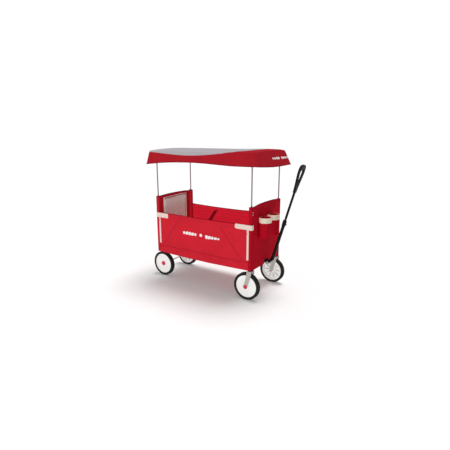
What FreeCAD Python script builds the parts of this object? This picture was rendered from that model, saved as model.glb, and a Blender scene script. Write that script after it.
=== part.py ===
import FreeCAD, Part
import os
import re

import Sketcher

# Folding fabric wagon with a canopy. Millimetres, +X to the front, +Z up, floor at z = 0.
# Stations along x are counted from the middle of the body; origin_shift moves the whole wagon
# so that the middle of its overall length stands on the origin.

SIZES = {
    "origin_shift": 80.912,
    # fabric body
    "body_half_length": 418.0,
    "body_half_width": 209.0,
    "body_bottom": 215.0,
    "wall_top": 528.0,
    "corner_top": 646.0,
    "front_crown": 659.0,
    "rear_crown": 651.0,
    "cloth": 3.5,
    "corner_return": 24.0,
    "sleeve_low": 256.0,
    "window_half_width": 24.0,
    "window_top": 250.0,
    # end frames
    "post_x": 407.0,
    "post_y": 198.0,
    "post_radius": 7.0,
    "post_bore": 5.05,
    "post_top": 636.0,
    "bar_z": 236.0,
    "bar_radius": 7.0,
    "bow_radius": 4.5,
    "bow_z": 631.0,
    "front_bow_rise": 21.5,
    "rear_bow_rise": 12.5,
    "socket_radius": 7.4,
    "socket_height": 18.0,
    "pole_radius": 4.75,
    "pole_depth": 60.0,
    "rear_pole_top": 962.0,
    "front_pole_top": 974.0,
    # fold linkage
    "hinge_x": 350.0,
    "hinge_z": 228.0,
    "hinge_pin": 4.0,
    "hinge_play": 0.05,
    "arm_y": 189.4,
    "arm_thick": 5.0,
    "arm_half_height": 9.0,
    "rail_y": 181.5,
    "rail_z": 236.5,
    "rail_radius": 6.5,
    "rail_end_gap": 14.0,
    "lug_thick": 5.0,
    "lug_gap": 0.5,
    "lug_length": 40.0,
    "crossbar_radius": 5.0,
    "mat_bottom": 244.0,
    "mat_thick": 16.0,
    "mat_half_width": 186.0,
    "mat_end": 343.0,
    "mat_gap": 0.5,
    # wheels
    "wheel_radius": 97.0,
    "wheel_y": 148.0,
    "rear_axle_x": 417.0,
    "axle_radius": 4.5,
    "wheel_bore": 4.55,
    "rim_radius": 78.0,
    "tyre_gap": 0.1,
    # casters
    "caster_x": 405.0,
    "caster_y": 192.0,
    "caster_trail": 28.0,
    "leg_gap": 19.5,
    "leg_thick": 4.5,
    "crown_bottom": 205.6,
    "crown_top": 210.6,
    "housing_bottom": 211.0,
    "housing_top": 229.0,
    "stem_radius": 6.0,
    # draw handle
    "pivot_x": 439.0,
    "pivot_z": 226.0,
    "pivot_pin": 5.0,
    "handle_angle": 16.6,
    "tube_offset": 22.0,
    "lower_start": 46.0,
    "lower_end": 331.0,
    "lower_radius": 11.0,
    "upper_radius": 8.0,
    "slide_play": 0.06,
    "collar_radius": 13.5,
    "collar_length": 34.0,
    "upper_inside": 70.0,
    "grip_start": 540.0,
    "grip_end": 730.0,
    "grip_half_width": 42.0,
    "grip_thick": 15.0,
    "hand_half_width": 31.0,
    "hand_start": 590.0,
    "hand_end": 696.0,
    # cup holders
    "cup_radius": 40.0,
    "cup_cloth": 2.5,
    "cup_bottom": 426.0,
    "cup_top": 570.0,
    "cup_near_y": -98.0,
    "cup_far_y": 24.0,
    "band_height": 35.0,
    # near side flap
    "flap_end": 393.0,
    "flap_hinge_z": 270.0,
    "flap_bead": 1.7,
    # canopy
    "hem_half_length": 480.0,
    "hem_half_width": 252.0,
    "top_rear": 460.0,
    "top_front": 438.0,
    "top_half_width": 232.0,
    "hem_z": 898.0,
    "canopy_height": 96.0,
    "crown_height": 16.0,
    "canopy_cloth": 2.5,
    "canopy_tilt": -0.8,
}

CORNERS = (-1, 1)
ALONG_X = FreeCAD.Rotation(FreeCAD.Vector(0, 1, 0), 90)
ALONG_Y = FreeCAD.Rotation(FreeCAD.Vector(1, 0, 0), -90)
ALONG_Z = FreeCAD.Rotation()
FACE_NEAR = FreeCAD.Rotation(FreeCAD.Vector(1, 0, 0), 90)

doc = FreeCAD.newDocument("wagon")
sheet = doc.addObject("Spreadsheet::Sheet", "dims")
for row, (alias, value) in enumerate(SIZES.items(), start=1):
    sheet.set("A%d" % row, alias)
    sheet.set("B%d" % row, "%g" % value)
    sheet.setAlias("B%d" % row, alias)
doc.recompute()

nodes = []


def bound(text):
    """Turns the size names in a formula into spreadsheet references."""

    def reference(word):
        name = word.group(0)
        return name if name in ("sin", "cos") else "dims." + name

    return re.sub(r"[a-z][a-z0-9_]*", reference, text)


def number(text):
    """The value of a formula, for a sketch's first layout."""
    value = sheet.evalExpression(bound(text))
    return float(getattr(value, "Value", value))


def bind(item, **sizes):
    for name, text in sizes.items():
        item.setExpression(name, bound(text))
    return item


def place(item, x, y, z, turn=ALONG_Z):
    """Puts an item at formulas for x, y, z."""
    item.Placement = FreeCAD.Placement(FreeCAD.Vector(0, 0, 0), turn)
    for axis, text in zip("xyz", (x, y, z)):
        item.setExpression("Placement.Base." + axis, bound(text))
    return item


def stand(item, x="0", y="0", z="0", turn=ALONG_Z):
    """Places a finished sub-part at its station on the wagon."""
    return place(item, "%s - origin_shift" % x, y, z, turn)


def node(item, name):
    """Names a sub-part. A bare block or bar is held in a compound, which keeps its own offset."""
    if item.TypeId in ("Part::Box", "Part::Cylinder"):
        held = doc.addObject("Part::Compound", "held")
        held.Links = [item]
        item = held
    item.Label = name
    nodes.append(item)
    return item


def box(length, width, height, x="0", y="0", z="0"):
    """A block whose low corner is at x, y, z."""
    item = doc.addObject("Part::Box", "block")
    bind(item, Length=length, Width=width, Height=height)
    return place(item, x, y, z)


def rod(radius, length, x="0", y="0", z="0", turn=ALONG_Z):
    """A round bar that starts at x, y, z."""
    item = doc.addObject("Part::Cylinder", "bar")
    bind(item, Radius=radius, Height=length)
    return place(item, x, y, z, turn)


def ball(radius, x="0", y="0", z="0"):
    item = doc.addObject("Part::Sphere", "ball")
    bind(item, Radius=radius)
    return place(item, x, y, z)


def fuse(*shapes):
    item = doc.addObject("Part::MultiFuse", "joined")
    item.Shapes = list(shapes)
    return item


def cut(base, *tools):
    item = doc.addObject("Part::Cut", "bored")
    item.Base = base
    item.Tool = tools[0] if len(tools) == 1 else fuse(*tools)
    return item


def origin_plane(body, role):
    return next(feature for feature in body.Origin.OriginFeatures if feature.Role == role)


def outline(body, role, *loops):
    """A sketch of closed outlines on an origin plane of a body, each corner bound to the sheet."""
    sketch = body.newObject("Sketcher::SketchObject", "outline")
    sketch.AttachmentSupport = [(origin_plane(body, role), "")]
    sketch.MapMode = "FlatFace"
    first = 0
    for corners in loops:
        values = [(number(u), number(v)) for u, v in corners]
        count = len(corners)
        for i in range(count):
            start = FreeCAD.Vector(*values[i], 0)
            end = FreeCAD.Vector(*values[(i + 1) % count], 0)
            sketch.addGeometry(Part.LineSegment(start, end))
        for i in range(count):
            sketch.addConstraint(Sketcher.Constraint("Coincident", first + i, 2, first + (i + 1) % count, 1))
        for i in range(count):
            for kind, text, value in zip(("DistanceX", "DistanceY"), corners[i], values[i]):
                index = sketch.addConstraint(Sketcher.Constraint(kind, -1, 1, first + i, 1, value))
                sketch.setExpression("Constraints[%d]" % index, bound(text))
        first += count
    return sketch


def pad(body, role, length, *loops):
    """Pads outlines by the same amount to both sides of an origin plane."""
    feature = body.newObject("PartDesign::Pad", "pad")
    feature.Profile = outline(body, role, *loops)
    feature.Midplane = True
    bind(feature, Length=length)
    body.Tip = feature
    return feature


def pocket(body, role, length, *loops):
    """Cuts outlines by the same amount to both sides of an origin plane."""
    feature = body.newObject("PartDesign::Pocket", "pocket")
    feature.Profile = outline(body, role, *loops)
    feature.Midplane = True
    bind(feature, Length=length)
    body.Tip = feature
    return feature


def plate(role, length, *loops):
    """A body padded from outlines, centred on the plane they are drawn on."""
    body = doc.addObject("PartDesign::Body", "plate")
    pad(body, role, length, *loops)
    return body


def turned(*corners):
    """A body turned about its own z axis from a profile of radius and height."""
    body = doc.addObject("PartDesign::Body", "turned")
    profile = outline(body, "XZ_Plane", corners)
    feature = body.newObject("PartDesign::Revolution", "revolution")
    feature.Profile = profile
    feature.ReferenceAxis = (profile, ["V_Axis"])
    feature.Angle = 360
    body.Tip = feature
    return body


def both_sides(make):
    """Joins the near and far copies of a piece."""
    return fuse(*(make(side) for side in CORNERS))


def end_posts(name, end):
    """Two upright corner tubes, bored for the canopy poles."""

    def post(side):
        x, y = "%d * post_x" % end, "%d * post_y" % side
        foot = "bar_z - bar_radius"
        tube = rod("post_radius", "post_top - bar_z + bar_radius", x, y, foot)
        bore = rod("post_bore", "pole_depth + 2", x, y, "post_top - pole_depth")
        return cut(tube, bore)

    return stand(node(both_sides(post), name))


def top_bow(name, end, bow_rise):
    """The arched tube that joins the two posts under the rim."""
    half = number("post_y - post_radius - 1.4")
    rise = number(bow_rise)
    radius = (half * half + rise * rise) / (2 * rise)
    arch = Part.Arc(
        FreeCAD.Vector(0, -half, -rise), FreeCAD.Vector(0, 0, 0), FreeCAD.Vector(0, half, -rise)
    ).toShape()
    start = FreeCAD.Vector(0, -half, -rise)
    along = FreeCAD.Vector(0, radius - rise, half)
    ring = Part.Wire(Part.Circle(start, along, number("bow_radius")).toShape())
    bow = doc.addObject("Part::Feature", "bow")
    bow.Shape = Part.Wire(arch).makePipeShell([ring], True, False)
    return stand(node(bow, name), "%d * post_x" % end, "0", "bow_z + " + bow_rise)


def lower_bar(name, end):
    reach = "post_y - post_radius - 0.2"
    bar = rod("bar_radius", "2 * (%s)" % reach, "0", "-(%s)" % reach, "0", ALONG_Y)
    return stand(node(bar, name), "%d * post_x" % end, "0", "bar_z")


def sleeve_hollows():
    """Plan of what is cut from inside an end wall: the open middle, and the hollow of each corner sleeve."""
    inner, wall = "body_half_width - corner_return + 2", "corner_return - cloth"
    loops = [[("-1", "-(%s)" % inner), (wall, "-(%s)" % inner), (wall, inner), ("-1", inner)]]
    for sign in ("-", ""):
        near, far = "%s(%s + cloth)" % (sign, inner), "%s(body_half_width - cloth)" % sign
        loops.append([("cloth", near), (wall, near), (wall, far), ("cloth", far)])
    return loops


def end_panel(name, end, crown):
    """The end wall with its arched rim and a closed sleeve round each post."""
    w, top = "body_half_width", "corner_top"
    rim = [
        ("-" + w, "body_bottom"), ("-window_half_width", "body_bottom"), ("-window_half_width", "window_top"),
        ("window_half_width", "window_top"), ("window_half_width", "body_bottom"), (w, "body_bottom"),
        (w, top), (w + " - 40", crown + " - 10"), ("120", crown + " - 3"), ("50", crown), ("-50", crown),
        ("-120", crown + " - 3"), ("40 - " + w, crown + " - 10"), ("-" + w, top),
    ]
    body = plate("YZ_Plane", "2 * corner_return", rim)
    pocket(body, "XY_Plane", "4 * corner_top", *sleeve_hollows())
    pocket(body, "XY_Plane", "4 * corner_top",
           [("-corner_return - 1", "-body_half_width - 1"), ("0", "-body_half_width - 1"),
            ("0", "body_half_width + 1"), ("-corner_return - 1", "body_half_width + 1")])
    below = box("corner_return - cloth", "2 * (body_half_width - cloth)", "sleeve_low", "0",
                "cloth - body_half_width", "0")
    reach = w + " - corner_return + cloth + 2.1"
    bow_way = box("corner_return - cloth", "2 * (%s)" % reach, "60", "0", "-(%s)" % reach, "bow_z - 11")
    turn = FreeCAD.Rotation(FreeCAD.Vector(0, 0, 1), 0 if end > 0 else 180)
    wall = node(cut(body, below, bow_way), name)
    return stand(wall, "%d * (body_half_length - corner_return)" % end, "0", "0", turn)


def poles(name, end, top):
    """Two thin canopy poles with round tips, seated in the posts."""

    def pole(side):
        x, y = "%d * post_x" % end, "%d * post_y" % side
        foot = "post_top - pole_depth + 0.2"
        shaft = rod("pole_radius", "%s - pole_radius - (%s)" % (top, foot), x, y, foot)
        return fuse(shaft, ball("pole_radius + 1.2", x, y, "%s - pole_radius - 1.2" % top))

    return stand(node(both_sides(pole), name))


def pole_sockets(name, end):
    """Collars on the post tops that guide the poles."""

    def socket(side):
        x, y = "%d * post_x" % end, "%d * post_y" % side
        ring = rod("socket_radius", "socket_height", x, y, "post_top + 0.1")
        return cut(ring, rod("post_bore", "socket_height + 2", x, y, "post_top - 1"))

    return stand(node(both_sides(socket), name))


def fold_arms(name, end):
    """Flat arms from the lower bar to the fold hinge."""

    def arm(side):
        reach = "post_x - bar_radius - 0.5 - hinge_x"
        step = reach + " - 7"
        strap = [
            ("0", "-arm_half_height"), (step, "-arm_half_height + 4"), (step, "1.4"), (reach, "1.4"),
            (reach, "arm_half_height + 4"), ("0", "arm_half_height"),
        ]
        if end < 0:
            strap = [("-(%s)" % u if u != "0" else u, v) for u, v in strap]
        bar = plate("XZ_Plane", "arm_thick", strap)
        y = "%d * (arm_y + arm_thick / 2)" % side
        place(bar, "%d * hinge_x" % end, y, "hinge_z")
        start = "%s - arm_thick / 2" % y
        boss = rod("arm_half_height", "arm_thick", "%d * hinge_x" % end, start, "hinge_z", ALONG_Y)
        hole = rod("hinge_pin + hinge_play", "3 * arm_thick", "%d * hinge_x" % end,
                   "%s - arm_thick" % start, "hinge_z", ALONG_Y)
        return cut(fuse(bar, boss), hole)

    return stand(node(both_sides(arm), name))


def fold_pin(name, x):
    half = "arm_y + arm_thick + 1"
    pin = rod("hinge_pin", "2 * (%s)" % half, "0", "-(%s)" % half, "0", ALONG_Y)
    return stand(node(pin, name), x, "0", "hinge_z")


def floor_rails(name, end):
    """Side rails of one floor half, with a lug at the end hinge and one at the centre hinge."""

    def rail(side):
        y = "%d * rail_y" % side
        inner = "rail_end_gap" if end > 0 else "-(hinge_x - rail_end_gap)"
        bar = rod("rail_radius", "hinge_x - 2 * rail_end_gap", inner, y, "rail_z", ALONG_X)
        # The rear half's centre lug is on the outer side of the rail, the front half's on the inner side.
        shift = "lug_gap / 2 + lug_thick / 2"
        centre_y = "%s + %d * (%s)" % (y, side if end < 0 else -side, shift)
        pieces = [bar]
        holes = []
        for x, lug_y, inward in (("%d * hinge_x" % end, y, -end), ("0", centre_y, end)):
            strap = [
                ("0", "-arm_half_height"), ("%d * lug_length" % inward, "0"),
                ("%d * lug_length" % inward, "arm_half_height + 4"), ("0", "arm_half_height"),
            ]
            lug = plate("XZ_Plane", "lug_thick", strap)
            pieces.append(place(lug, x, lug_y, "hinge_z"))
            start = "%s - lug_thick / 2" % lug_y
            pieces.append(rod("arm_half_height", "lug_thick", x, start, "hinge_z", ALONG_Y))
            bore_start = "%s - lug_thick" % start
            holes.append(rod("hinge_pin + hinge_play", "3 * lug_thick", x, bore_start, "hinge_z", ALONG_Y))
        return cut(fuse(*pieces), *holes)

    return stand(node(both_sides(rail), name))


def floor_crossbars(name, end):
    """Tubes that join the two rails of one floor half."""
    half = "rail_y - rail_radius - 0.2"
    bars = [
        rod("crossbar_radius", "2 * (%s)" % half, "%d * (%s)" % (end, x), "-(%s)" % half, "rail_z", ALONG_Y)
        for x in ("hinge_x * 0.3", "hinge_x * 0.8")
    ]
    return stand(node(fuse(*bars), name))


def floor_mat(name, end):
    """Padded floor panel of one floor half."""
    low = "mat_gap" if end > 0 else "-mat_end"
    mat = box("mat_end - mat_gap", "2 * mat_half_width", "mat_thick", low, "-mat_half_width", "mat_bottom")
    return stand(node(mat, name))


def pull_strap(name):
    """Webbing loop at the middle of the floor that lifts it to fold the wagon."""
    strap = [
        ("-80", "0"), ("-8", "0"), ("-8", "3"), ("-20", "14"), ("-68", "14"), ("-80", "3"),
    ]
    gap = [("-76", "2.5"), ("-12", "2.5"), ("-21", "11.5"), ("-67", "11.5")]
    body = plate("XZ_Plane", "26", strap, gap)
    return stand(node(body, name), "0", "0", "mat_bottom + mat_thick + 0.3")


def axle_brackets(name):
    """Plates that hang the rear axle under the lower bar."""

    def bracket(side):
        reach = "bar_z - bar_radius - wheel_radius - 0.4"
        blade = [
            ("-14", "0"), ("-9", "-11"), ("9", "-11"), ("14", "0"),
            ("rear_axle_x - post_x + 6.5", reach), ("rear_axle_x - post_x - 6.5", reach),
            ("rear_axle_x - post_x - 6.5", reach + " - 24"),
        ]
        body = plate("XZ_Plane", "5", blade)
        y = "%d * 104" % side
        place(body, "-rear_axle_x", y, "wheel_radius")
        return cut(body, rod("wheel_bore", "12", "-rear_axle_x", "%s - 6" % y, "wheel_radius", ALONG_Y))

    return stand(node(both_sides(bracket), name))


def rear_axle(name):
    bar = rod("axle_radius", "2 * (wheel_y + 13)", "0", "-wheel_y - 13", "0", ALONG_Y)
    return stand(node(bar, name), "-rear_axle_x", "0", "wheel_radius")


def wheel(prefix, x, y, outward):
    """Tyre and disc wheel; the flat white face is on the outer side."""
    turn = FACE_NEAR if outward < 0 else ALONG_Y
    low, high, groove = "wheel_radius - 3.6", "wheel_radius", "wheel_radius - 3"
    tyre = turned(
        ("rim_radius", "-13"), ("rim_radius + 6", "-15.5"), (low, "-15.5"), (high, "-12"), (high, "-7"),
        (groove, "-7"), (groove, "-4.5"), (high, "-4.5"), (high, "4.5"), (groove, "4.5"), (groove, "7"),
        (high, "7"), (high, "12"), (low, "15.5"), ("rim_radius + 6", "15.5"), ("rim_radius", "13"),
    )
    stand(node(tyre, prefix + "_tyre"), x, y, "wheel_radius", turn)
    rim = "rim_radius - tyre_gap"
    disc = turned(
        ("wheel_bore", "-16"), ("18", "-16"), ("18", "2"), ("68", "5"),
        ("70", "-12"), (rim, "-12"), (rim, "12"),
        ("73", "12"), ("72", "9"), ("wheel_bore", "9"),
    )
    stand(node(disc, prefix + "_wheel"), x, y, "wheel_radius", turn)


def hub_cap(name, y, outward):
    """Domed cap over the axle end."""
    turn = FACE_NEAR if outward < 0 else ALONG_Y
    cap = turned(
        ("0", "14"), ("6", "14"), ("6", "9.1"), ("17", "9.1"), ("17", "14"), ("12", "18"), ("0", "19.5"),
    )
    return stand(node(cap, name), "-rear_axle_x", y, "wheel_radius", turn)


def caster(prefix, side):
    """Fork with two legs, its stem, the wheel bolt and the red cap on the outer leg."""
    y = "%d * caster_y" % side
    leg = [
        ("-17", "crown_top"), ("16", "crown_top"), ("15", "190"), ("-16", "wheel_radius - 6"),
        ("-caster_trail", "wheel_radius - 13"), ("-caster_trail - 13", "wheel_radius"), ("-26", "160"),
    ]
    pieces = [
        box("33", "2 * (leg_gap + leg_thick)", "crown_top - crown_bottom",
            "-17", "-leg_gap - leg_thick", "crown_bottom"),
        rod("stem_radius", "16", "0", "0", "crown_top - 0.5"),
    ]
    for hand in CORNERS:
        centre = "%d * (leg_gap + leg_thick / 2)" % hand
        pieces.append(place(plate("XZ_Plane", "leg_thick", leg), "0", centre, "0"))
        start = "%s - leg_thick / 2" % centre
        pieces.append(rod("13", "leg_thick", "-caster_trail", start, "wheel_radius", ALONG_Y))
    hole = rod("wheel_bore", "80", "-caster_trail", "-40", "wheel_radius", ALONG_Y)
    stand(node(cut(fuse(*pieces), hole), prefix + "_fork"), "caster_x", y, "0")
    bolt = rod("axle_radius", "2 * (leg_gap + leg_thick) + 2", "0", "-leg_gap - leg_thick - 1", "0", ALONG_Y)
    stand(node(bolt, prefix + "_fork_bolt"), "caster_x - caster_trail", y, "wheel_radius")
    cap = turned(
        ("0", "1.6"), ("5.5", "1.6"), ("5.5", "0.2"), ("15", "0.2"),
        ("15", "2"), ("11", "5"), ("0", "6"),
    )
    face = "%s + %d * (leg_gap + leg_thick)" % (y, side)
    turn = FACE_NEAR if side < 0 else ALONG_Y
    stand(node(cap, prefix + "_fork_cap"), "caster_x - caster_trail", face, "wheel_radius", turn)


def caster_housings(name):
    """Flanged bushes under the front bar that the caster stems turn in."""

    def housing(side):
        y = "%d * caster_y" % side
        flange = rod("18", "3", "caster_x", y, "housing_bottom")
        neck = rod("9", "housing_top - housing_bottom - 0.2", "caster_x", y, "housing_bottom")
        bore = rod("stem_radius + hinge_play", "40", "caster_x", y, "housing_bottom - 20")
        return cut(fuse(flange, neck), bore)

    return stand(node(both_sides(housing), name))


def handle_bracket(name):
    """Two ears on the front bar and the pin the handle turns on."""
    ears = []
    for side in CORNERS:
        ear = [
            ("-24.6", "0"), ("-8", "-12"), ("4", "-9.5"), ("9.5", "-3"),
            ("9.5", "4"), ("4", "10"), ("-24.6", "18"),
        ]
        ears.append(place(plate("XZ_Plane", "4", ear), "0", "%d * 11" % side, "0"))
    pin = rod("pivot_pin", "32", "0", "-16", "0", ALONG_Y)
    heads = [rod("8", "3", "0", y, "0", ALONG_Y) for y in ("-16", "13")]
    bracket = fuse(*ears, pin, *heads)
    return stand(node(bracket, name), "pivot_x", "0", "pivot_z")


def on_handle(item, name):
    """Places a piece drawn in the handle's own frame: z along the tube, origin on the pivot."""
    item = node(item, name)
    stand(item, "pivot_x", "0", "pivot_z", FreeCAD.Rotation(FreeCAD.Vector(0, 1, 0), SIZES["handle_angle"]))
    return bind(item, **{"Placement.Rotation.Angle": "handle_angle"})


def handle_lower(name):
    """Elbow with the pivot eye and the outer tube."""
    eye = rod("10", "16", "0", "-8", "0", ALONG_Y)
    elbow = [("-9", "3"), ("9", "-4"), ("32", "32"), ("32", "56"), ("12", "56"), ("10", "42")]
    web = plate("XZ_Plane", "15", elbow)
    tube = rod("lower_radius", "lower_end - lower_start", "tube_offset", "0", "lower_start")
    bore = rod("upper_radius + slide_play", "lower_end", "tube_offset", "0", "lower_start + 22")
    hole = rod("pivot_pin + hinge_play", "60", "0", "-30", "0", ALONG_Y)
    return on_handle(cut(fuse(eye, web, tube), bore, hole), name)


def handle_collar(name):
    """Lock collar at the top of the outer tube, with a pocket for its button."""
    base = "lower_end - collar_length"
    ring = rod("collar_radius", "collar_length + 4", "tube_offset", "0", base)
    bore = rod("lower_radius + 0.1", "collar_length + 0.2", "tube_offset", "0", base + " - 0.1")
    throat = rod("upper_radius + slide_play", "20", "tube_offset", "0", "lower_end - 10")
    seat = rod("5.05", "10", "tube_offset + lower_radius", "0", "lower_end - 18", ALONG_X)
    return on_handle(cut(ring, bore, throat, seat), name)


def handle_button(name):
    button = rod("5", "4.6", "tube_offset + lower_radius + 1.6", "0", "lower_end - 18", ALONG_X)
    return on_handle(button, name)


def handle_upper(name):
    length = "grip_start - lower_end + upper_inside"
    return on_handle(rod("upper_radius", length, "tube_offset", "0", "lower_end - upper_inside"), name)


def handle_grip(name):
    """Closed loop grip with a neck."""
    w, g = "grip_half_width", "hand_half_width"
    low, high, top = "hand_start", "hand_end", "grip_end"
    right = [
        ("13", "grip_start"), ("16", "grip_start + 20"), ("21", low),
        (w + " - 7", low + " + 55"), (w, low + " + 90"),
        (w + " - 2", high + " + 12"), (w + " - 12", top + " - 6"), ("14", top),
    ]
    inside = [
        ("8", low), (g + " - 13", low + " + 28"), (g + " - 5", low + " + 58"),
        (g, high + " - 16"), (g + " - 5", high + " - 4"),
        (g + " - 13", high),
    ]
    loop = right + [("-(%s)" % u, v) for u, v in reversed(right)]
    hand = inside + [("-(%s)" % u, v) for u, v in reversed(inside)]
    body = plate("YZ_Plane", "grip_thick", loop, hand)
    place(body, "tube_offset", "0", "0")
    return on_handle(cut(body, rod("upper_radius", "4", "tube_offset", "0", "grip_start - 3.9")), name)


def cup_holders(name):
    """Two round cloth pockets on the front wall."""
    centre = "body_half_length + cup_radius + 0.3"
    cups = []
    for y in ("cup_near_y", "cup_far_y"):
        shell = rod("cup_radius", "cup_top - cup_bottom", centre, y, "cup_bottom")
        cups.append(cut(shell, rod("cup_radius - cup_cloth", "cup_top", centre, y, "cup_bottom + 5")))
    return stand(node(fuse(*cups), name))


def cup_bands(name):
    """Trim bands round the mouths of the cup holders."""
    centre = "body_half_length + cup_radius + 0.3"
    bands = []
    for y in ("cup_near_y", "cup_far_y"):
        low = "cup_top - band_height"
        ring = rod("cup_radius + 1.8", "band_height", centre, y, low)
        clear = rod("cup_radius + 0.2", "band_height + 2", centre, y, low + " - 1")
        wall = box("20", "2 * cup_radius + 8", "band_height + 2", "body_half_length - 19.7",
                   "%s - cup_radius - 4" % y, low + " - 1")
        bands.append(cut(ring, clear, wall))
    return stand(node(fuse(*bands), name))


def side_wall(name, y, top):
    """A cloth wall between the two end panels; y is its outer face."""
    half = "body_half_length - corner_return - 0.5"
    low = y if y.startswith("-") else "%s - cloth" % y
    wall = box("2 * (%s)" % half, "cloth", "%s - body_bottom" % top, "-(%s)" % half, low, "body_bottom")
    return stand(node(wall, name))


def near_flap(name):
    """The near wall above the skirt: it zips open and swings down on its bottom edge."""
    reach = "2 * flap_end"
    cloth = box(reach, "cloth", "wall_top - flap_hinge_z - 1", "-flap_end", "-cloth / 2", "1")
    bead = rod("flap_bead", reach, "-flap_end", "0", "0", ALONG_X)
    return stand(node(fuse(cloth, bead), name), "0", "cloth / 2 - body_half_width", "flap_hinge_z")


def flap_zippers(name):
    """Zip tapes down both ends of the flap."""
    strips = [box("9", "1.6", "203", x, "0", "0") for x in ("-flap_end + 1", "flap_end - 10")]
    return stand(node(fuse(*strips), name), "0", "-body_half_width - 1.8", "flap_hinge_z + 16")


def flap_tabs(name):
    """Closing tabs at the flap's top corners; the front one wraps round the corner."""
    outside = "-body_half_width - 2"
    rear = box("115", "1.8", "36", "-body_half_length - 2", outside, "490")
    front = box("body_half_length + 2 - 290", "1.8", "34", "290", outside, "497")
    wrap = box("1.8", "17", "34", "body_half_length + 0.3", outside, "497")
    return stand(node(fuse(rear, front, wrap), name))


def seat_pad(name):
    """Padded backrest inside the rear wall."""
    rim = [("-141", "300"), ("128", "300"), ("128", "631"), ("60", "635"), ("-141", "628")]
    body = plate("YZ_Plane", "12", rim)
    return stand(node(body, name), "cloth + 6.3 - body_half_length", "0", "0")


def seat_belt(name):
    """Wide webbing belt that hangs inside the far wall."""
    band = [("-168", "498"), ("-132", "498"), ("-196", "405"), ("-232", "405")]
    body = plate("XZ_Plane", "2.5", band)
    return stand(node(body, name), "0", "body_half_width - cloth - 2", "0")


def wedge(low, low_width, high, high_width, height):
    """A hipped block: a rectangle that draws in to a smaller one above it; low and high are (rear, front)."""
    item = doc.addObject("Part::Wedge", "hip")
    bind(item, Xmin="-(%s)" % low[0], Xmax=low[1], Zmin="-(%s)" % low_width, Zmax=low_width,
         X2min="-(%s)" % high[0], X2max=high[1], Z2min="-(%s)" % high_width, Z2max=high_width)
    item.Ymin = 0
    bind(item, Ymax=height)
    return item


def canopy_cover(name):
    """Canopy cloth: four sloping valances and a slightly crowned top, open below."""

    def hip(inset):
        """The outline of the cover, drawn in by an inset."""
        hem = ["hem_half_length - %s" % inset] * 2
        top = ["%s - %s" % (reach, inset) for reach in ("top_rear", "top_front")]
        crest = ["%s * 0.7 - %s" % (reach, inset) for reach in ("top_rear", "top_front")]
        width = "top_half_width - %s" % inset
        skirt = wedge(hem, "hem_half_width - %s" % inset, top, width, "canopy_height - %s" % inset)
        place(skirt, "0", "0", "0", FACE_NEAR)
        crown = wedge(top, width, crest, "top_half_width * 0.4", "crown_height")
        place(crown, "0", "0", "canopy_height - %s" % inset, FACE_NEAR)
        return fuse(skirt, crown)

    gap = box("2 * hem_half_length", "2 * hem_half_width", "20",
              "-hem_half_length", "-hem_half_width", "-19.99")
    cover = cut(hip("0"), hip("canopy_cloth"), gap)
    stand(node(cover, name), "0", "0", "hem_z", FreeCAD.Rotation(FreeCAD.Vector(0, 1, 0), SIZES["canopy_tilt"]))
    return bind(cover, **{"Placement.Rotation.Angle": "canopy_tilt"})


def build():
    for end, side_name, pole_top in ((-1, "rear", "rear_pole_top"), (1, "front", "front_pole_top")):
        end_posts(side_name + "_posts", end)
        top_bow(side_name + "_top_bow", end, side_name + "_bow_rise")
        lower_bar(side_name + "_lower_bar", end)
        end_panel(side_name + "_panel", end, side_name + "_crown")
        poles(side_name + "_poles", end, pole_top)
        pole_sockets(side_name + "_pole_sockets", end)
        fold_arms(side_name + "_fold_arms", end)
        fold_pin(side_name + "_fold_pin", "%d * hinge_x" % end)
        floor_rails(side_name + "_floor_rails", end)
        floor_crossbars(side_name + "_floor_crossbars", end)
        floor_mat(side_name + "_floor_mat", end)
    fold_pin("centre_fold_pin", "0")
    pull_strap("pull_strap")
    axle_brackets("rear_axle_brackets")
    rear_axle("rear_axle")
    for side, side_name in zip(CORNERS, ("near", "far")):
        wheel("rear_" + side_name, "-rear_axle_x", "%d * wheel_y" % side, side)
        hub_cap("rear_%s_hub_cap" % side_name, "%d * wheel_y" % side, side)
        wheel("front_" + side_name, "caster_x - caster_trail", "%d * caster_y" % side, side)
        caster(side_name + "_caster", side)
    caster_housings("caster_housings")
    handle_bracket("handle_bracket")
    handle_lower("handle_lower_tube")
    handle_collar("handle_collar")
    handle_button("handle_button")
    handle_upper("handle_upper_tube")
    handle_grip("handle_grip")
    cup_holders("cup_holders")
    cup_bands("cup_bands")
    side_wall("far_wall", "body_half_width", "wall_top")
    side_wall("near_skirt", "-body_half_width", "flap_hinge_z - 2.2")
    near_flap("near_flap")
    flap_zippers("flap_zippers")
    flap_tabs("flap_tabs")
    seat_pad("seat_pad")
    seat_belt("seat_belt")
    canopy_cover("canopy_cover")


def check():
    """Stops if any object of the document failed, or any sub-part is empty or not valid."""
    for item in doc.Objects:
        if {"Invalid", "Error"} & set(item.State):
            raise RuntimeError("%s (%s) is %s" % (item.Name, item.Label, item.State))
    for item in nodes:
        if item.Shape.isNull() or not item.Shape.isValid() or not item.Shape.Solids:
            raise RuntimeError("%s has no valid solid" % item.Label)


build()
doc.recompute()
check()
os.makedirs("parts", exist_ok=True)
for item in nodes:
    item.Shape.exportStep("parts/%s.step" % item.Label)
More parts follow.
